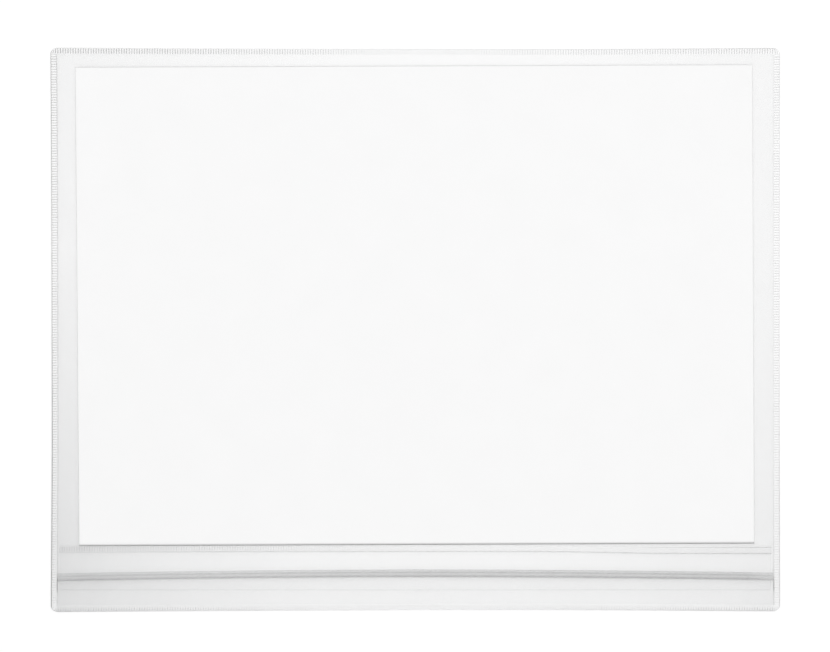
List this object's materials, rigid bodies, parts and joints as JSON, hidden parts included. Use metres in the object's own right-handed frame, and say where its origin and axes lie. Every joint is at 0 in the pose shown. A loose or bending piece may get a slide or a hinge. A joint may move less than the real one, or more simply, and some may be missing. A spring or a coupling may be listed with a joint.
{
  "type": "document pocket",
  "caption": "Clear film pocket with ribbed weld edges and a tuck-in flap closure, holding a blank landscape A4 sheet.",
  "frame": {"origin": "centre of the back film's outer face, on which the pocket lies", "axes": "+X along the long edge, +Y towards the top edge, away from the mouth, +Z out of the front"},
  "size_m": [0.32, 0.2476, 0.0021],
  "materials": {
    "back_film": "clear soft film",
    "flap_film": "clear soft film",
    "front_film": "clear soft film, ribbed along the welds",
    "paper": "matt white paper"
  },
  "bodies": {
    "root": {"back_sheet": "back_film", "closing_flap": "flap_film", "front_sheet": "front_film", "insert_sheet": "paper"}
  },
  "joints": []
}
